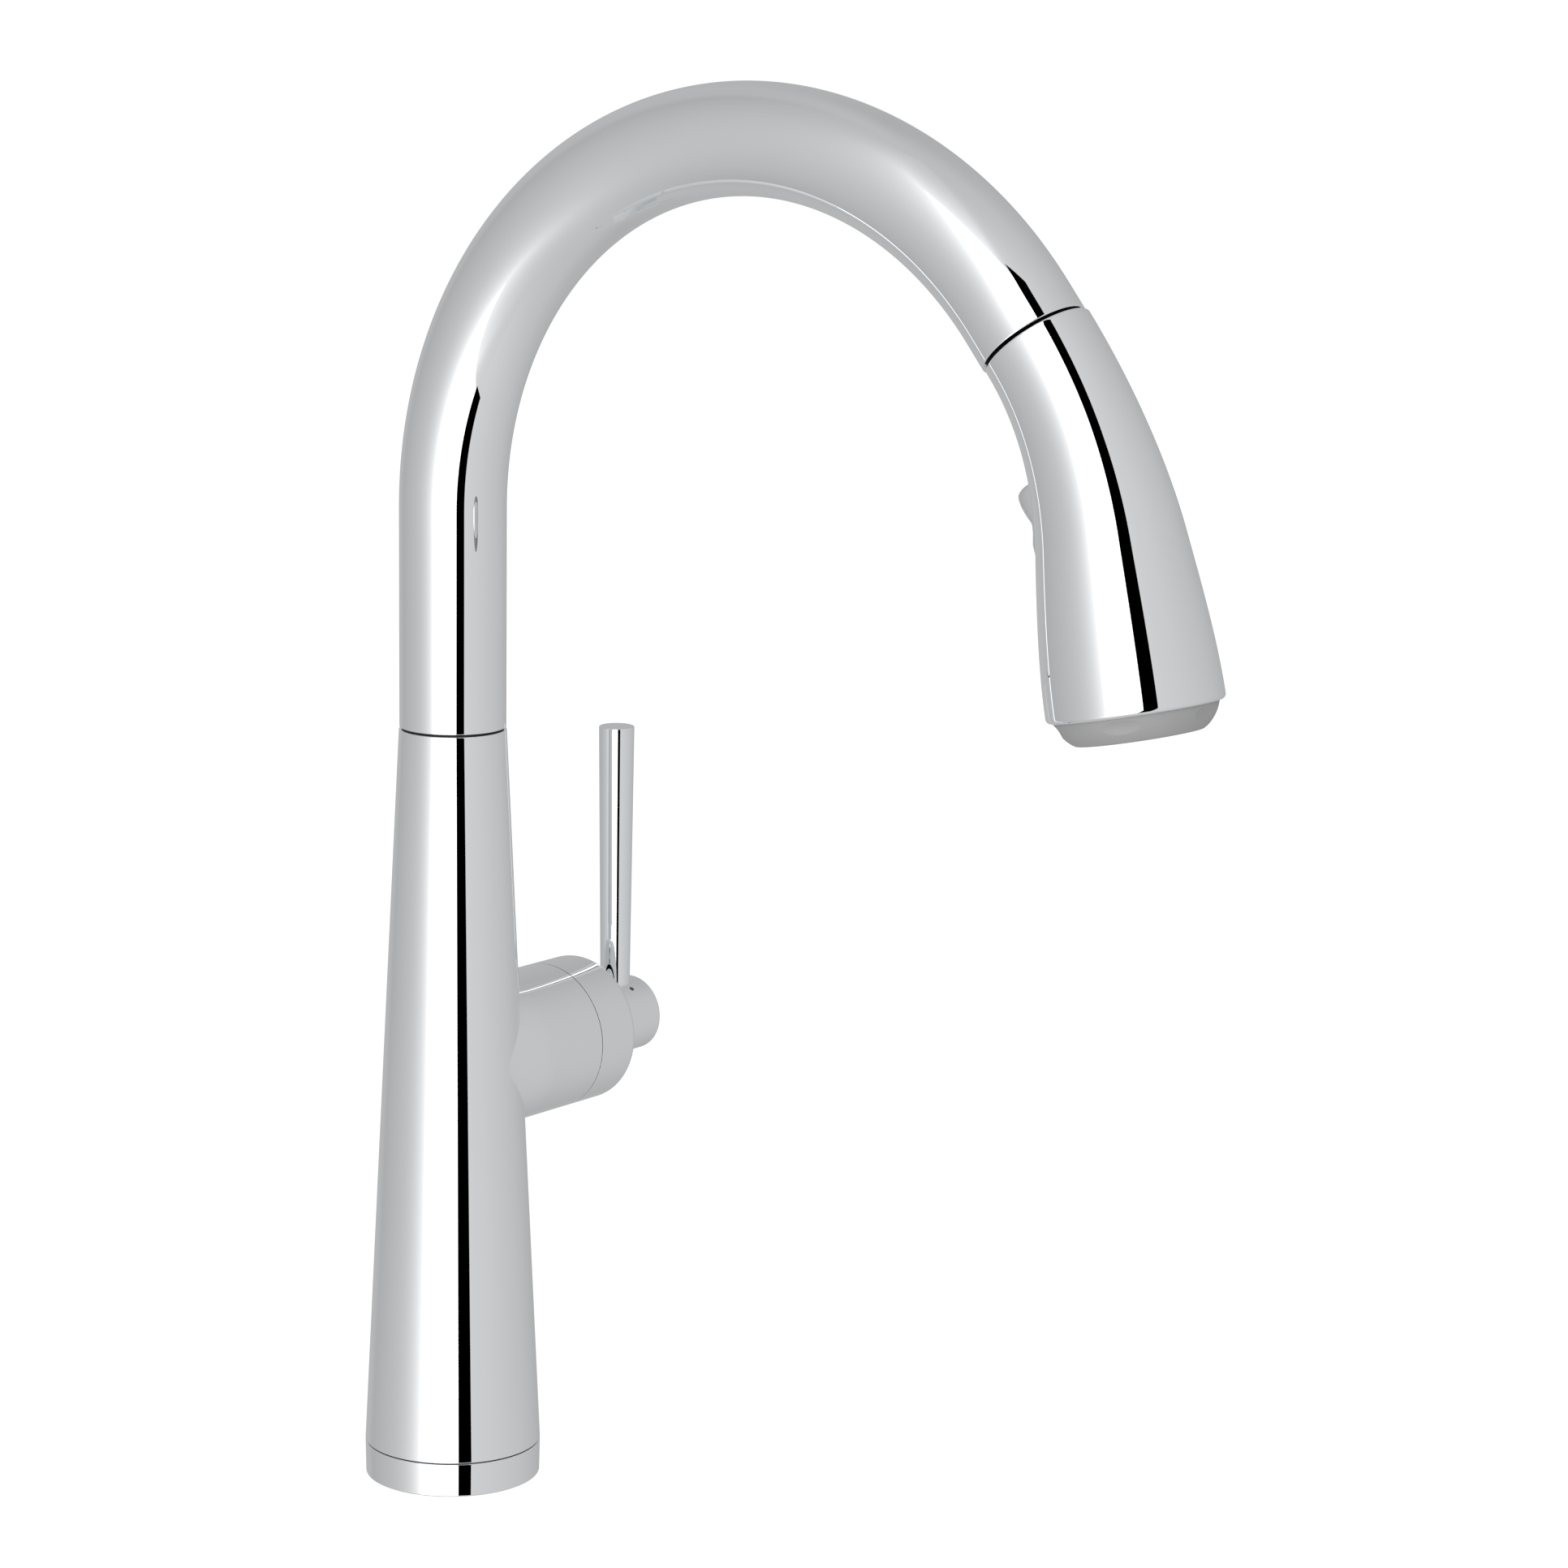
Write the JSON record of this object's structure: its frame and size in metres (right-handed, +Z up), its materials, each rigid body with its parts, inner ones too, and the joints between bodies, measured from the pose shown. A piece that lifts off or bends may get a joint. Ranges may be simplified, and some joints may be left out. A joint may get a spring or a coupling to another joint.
{
  "type": "pull-down kitchen faucet",
  "caption": "Deck-mounted pull-down kitchen faucet: tapered body, swivelling gooseneck spout, docked spray head with a rocker toggle, and a side lever on a round valve hub.",
  "frame": {"origin": "on the body's axis at the top of the deck, which is the underside of the base ring", "axes": "+Z up along the body's axis, +X the way the spout points, +Y along the handle's axis, towards the lever"},
  "size_m": [0.2944, 0.1125, 0.5247],
  "materials": {
    "chrome": "polished chrome plate",
    "brass": "machined",
    "copper": "drawn tube",
    "steel": "zinc plated",
    "magnet": "nickel plated magnet",
    "rubber": "matte",
    "spray_grey": "matte moulded",
    "nozzle_grey": "soft silicone",
    "dark_plastic": "matte moulded",
    "white_plastic": "acetal",
    "toggle_plastic": "satin plated plastic",
    "ceramic": "lapped ceramic",
    "hose": "braided nylon",
    "mark": "filled engraving"
  },
  "bodies": {
    "body": {"base_gasket": "rubber", "base_ring": "chrome", "body_foot": "brass", "body_shell": "chrome", "swivel_bush_lower": "white_plastic", "swivel_bush_upper": "white_plastic", "spout_washer": "dark_plastic", "spout_stop_screw": "steel", "valve_housing": "chrome", "bonnet": "chrome", "bonnet_gasket": "rubber", "base_seal": "rubber", "valve_block": "brass", "inlet_seals": "rubber", "cartridge_body": "white_plastic", "cartridge_nut": "brass", "ceramic_disc_fixed": "ceramic", "hot_pipe": "copper", "cold_pipe": "copper", "outlet_pipe": "copper", "hose_in_body": "hose", "hose_end_fitting": "brass", "shank": "brass", "deck_washer_rubber": "rubber", "deck_washer_steel": "steel", "mounting_nut": "brass", "jack_screws": "steel"},
    "rotor": {"cartridge_rotor": "dark_plastic", "ceramic_disc_moving": "ceramic", "tilt_pin": "steel"},
    "handle": {"cartridge_stem": "steel", "handle_knob": "chrome", "lever_rod": "chrome", "lever_set_screw": "steel", "index_marks": "mark"},
    "spout": {"neck_tube": "chrome", "neck_spigot": "brass", "swivel_o_ring": "rubber", "dock_collar": "dark_plastic", "dock_magnet": "magnet", "hose_in_neck": "hose"},
    "head": {"head_shell": "chrome", "head_dock_stub": "dark_plastic", "dock_keeper": "steel", "hose_in_head": "hose", "hose_nut": "brass", "check_valve": "white_plastic", "upper_waterway": "white_plastic", "diverter_body": "white_plastic", "lower_waterway": "white_plastic", "toggle_pin": "steel", "spray_engine": "dark_plastic", "spray_bezel": "spray_grey", "nozzle_plate": "spray_grey", "spray_nozzles": "nozzle_grey", "aerator": "steel"},
    "spool": {"diverter_spool": "brass"},
    "toggle": {"toggle_button": "toggle_plastic"}
  },
  "joints": [
    {"name": "handle_turn", "type": "hinge", "parent": "body", "child": "rotor", "pos_m": [0, 0.057, 0.1292], "axis": [0, 1, 0], "range_deg": [-45, 45]},
    {"name": "handle_tilt", "type": "hinge", "parent": "rotor", "child": "handle", "pos_m": [0, 0.057, 0.1292], "axis": [-1, 0, 0], "range_deg": [0, 18]},
    {"name": "spout_swivel", "type": "hinge", "parent": "body", "child": "spout", "pos_m": [0, 0, 0.21], "axis": [0, 0, 1], "range_deg": [-75, 75]},
    {"name": "head_pull", "type": "slide", "parent": "spout", "child": "head", "axis": [0.6293, 0, -0.7771], "range_m": [0, 0.25], "stiffness_N_per_m": 12, "springref_m": -0.5},
    {"name": "toggle_rock", "type": "hinge", "parent": "head", "child": "toggle", "pos_m": [0.21865, 0, 0.3172], "axis": [0, 1, 0], "range_deg": [-4, 4]},
    {"name": "spool_slide", "type": "slide", "parent": "head", "child": "spool", "axis": [-0.9533, 0, -0.3019], "range_m": [-0.000349, 0.000349]}
  ],
  "couplings": [
    {"joint": "toggle_rock", "follows": "spool_slide", "rad_per_m": 200}
  ]
}
